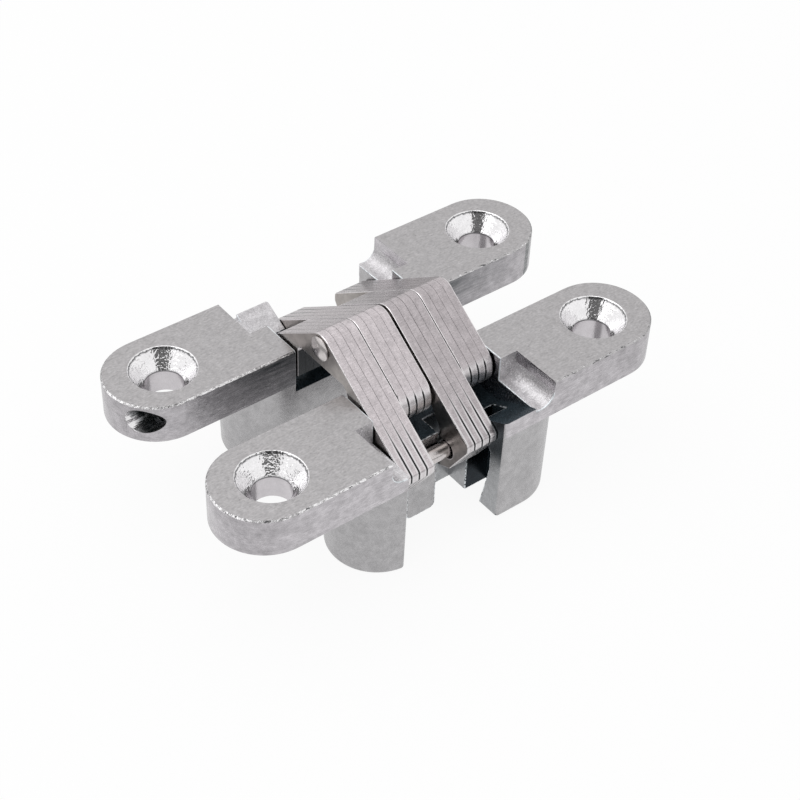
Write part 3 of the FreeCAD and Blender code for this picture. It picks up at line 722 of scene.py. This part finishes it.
for leaf, turn in (("leaf_a", 1), ("leaf_b", -1)):
    dress(leaf, "_casting", CAST_FINISHES, cast_zone(turn), CAST_BEVEL,
          bare_edge(turn), BARE_BEVEL)
for number in range(1, LINKS + 1):
    link = "link_%d" % number
    dress(link, "_plate", LINK_FINISHES, link_zone, SEAM_BEVEL,
          outer_edge(link, number), PACK_BEVEL)
for pin in PINS:
    dress(pin, "_steel", PIN_FINISHES, pin_zone, PIN_BEVEL)


def camera_back():
    """Direction from the hinge to the camera."""
    flat = math.cos(CAMERA_ELEVATION)
    return Vector((
        math.sin(CAMERA_AZIMUTH) * flat, -math.cos(CAMERA_AZIMUTH) * flat, math.sin(CAMERA_ELEVATION),
    ))


def add_camera():
    back = camera_back()
    right = (-back).cross(Vector((0, 0, 1))).normalized()
    up = back.cross(right)
    eye = back * CAMERA_DISTANCE + right * CAMERA_SIDE + up * CAMERA_RISE
    turned_right = right * math.cos(CAMERA_ROLL) + up * math.sin(CAMERA_ROLL)
    turned_up = up * math.cos(CAMERA_ROLL) - right * math.sin(CAMERA_ROLL)
    data = bpy.data.cameras.new("camera")
    data.sensor_width = SENSOR_WIDTH
    data.sensor_fit = "HORIZONTAL"
    data.lens = FOCAL_PIXELS * SENSOR_WIDTH / PHOTO_SIZE
    data.clip_start = MM
    camera = bpy.data.objects.new("camera", data)
    bpy.context.scene.collection.objects.link(camera)
    axes = Matrix((turned_right, turned_up, back)).transposed()
    camera.matrix_world = Matrix.Translation(eye) @ axes.to_4x4()
    bpy.context.scene.camera = camera


def seen_share(tree, direct, mirrored):
    """One level for rays from the camera or through glass, another off a mirror surface, else 0."""
    path = add_node(tree, "LightPath").outputs
    straight = add_math(tree, "MAXIMUM", path["Is Camera Ray"], path["Is Transmission Ray"])
    straight = add_math(tree, "MULTIPLY", straight, direct)
    glossy = add_math(tree, "MULTIPLY", path["Is Glossy Ray"], mirrored)
    return add_math(tree, "MAXIMUM", straight, glossy)


def floor_material():
    """Pale grey under the light, and for the eye and for polished metal mostly a plain white."""
    material, tree, shader = new_material("floor")
    shader.inputs["Roughness"].default_value = FLOOR_ROUGHNESS
    shader.inputs["Base Color"].default_value = (FLOOR_GREY, FLOOR_GREY, FLOOR_GREY, 1)
    length = add_node(tree, "VectorMath")
    length.operation = "LENGTH"
    feed(tree, length.inputs[0], add_node(tree, "TexCoord").outputs["Object"])
    distance = length.outputs["Value"]
    share = seen_share(tree, FLOOR_SEEN, add_span(tree, distance, *MIRROR_REACH, *MIRRORED_SHARE))
    level = seen_share(tree, 1.0, add_span(tree, distance, *MIRROR_REACH, *MIRRORED_LEVEL))
    blend = add_node(tree, "MixShader")
    feed(tree, blend.inputs[0], share)
    feed(tree, blend.inputs[1], shader.outputs[0])
    feed(tree, blend.inputs[2], add_node(tree, "Emission", Strength=level).outputs[0])
    feed(tree, tree.nodes["Material Output"].inputs["Surface"], blend.outputs[0])
    return material


def add_sheet(name, corners, material):
    """A flat sheet with four corners."""
    mesh = bpy.data.meshes.new(name)
    mesh.from_pydata(corners, [], [(0, 1, 2, 3)])
    mesh.materials.append(material)
    sheet = bpy.data.objects.new(name, mesh)
    bpy.context.scene.collection.objects.link(sheet)
    return sheet


def add_floor():
    half, height = FLOOR_SIDE / 2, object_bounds()[0][2]
    corners = [(x * half, y * half, height) for x, y in ((-1, -1), (1, -1), (1, 1), (-1, 1))]
    floor = add_sheet("floor", corners, floor_material())


def add_dark_card():
    """A card that only mirror rays see: the dark camera, as polished metal shows it."""
    centre = camera_back() * CAMERA_DISTANCE + Vector((0, 0, CARD_RISE))
    side = Vector((0, 0, 1)).cross(centre).normalized() * CARD_SIZE[0] / 2
    rise = centre.cross(side).normalized() * CARD_SIZE[1] / 2
    material, _, shader = new_material("dark_card")
    shader.inputs["Base Color"].default_value = (CARD_GREY, CARD_GREY, CARD_GREY, 1)
    corners = [centre - side - rise, centre + side - rise, centre + side + rise, centre - side + rise]
    card = add_sheet("dark_card", corners, material)
    card.visible_camera = False
    card.visible_diffuse = False
    card.visible_shadow = False


def add_world():
    """White for the eye and for polished metal, and a little less as light."""
    world = bpy.data.worlds.new("studio")
    bpy.context.scene.world = world
    world.use_nodes = True
    tree = world.node_tree
    background = tree.nodes["Background"]
    background.inputs["Color"].default_value = (1, 1, 1, 1)
    level = add_span(tree, seen_share(tree, 1.0, 1.0), 0.0, 1.0, WORLD_LIGHT, 1.0)
    feed(tree, background.inputs["Strength"], level)


def add_lamp():
    """One large soft lamp overhead, aimed at the hinge."""
    data = bpy.data.lights.new("soft_top", "AREA")
    data.shape = "RECTANGLE"
    data.size, data.size_y = LAMP_SIZE
    data.energy = LAMP_POWER
    lamp = bpy.data.objects.new("soft_top", data)
    bpy.context.scene.collection.objects.link(lamp)
    lamp.location = LAMP_PLACE
    lamp.rotation_euler = (-Vector(LAMP_PLACE)).to_track_quat("-Z", "Y").to_euler()


add_camera()
add_world()
add_floor()
add_dark_card()
add_lamp()

bpy.context.scene.view_settings.view_transform = "Standard"
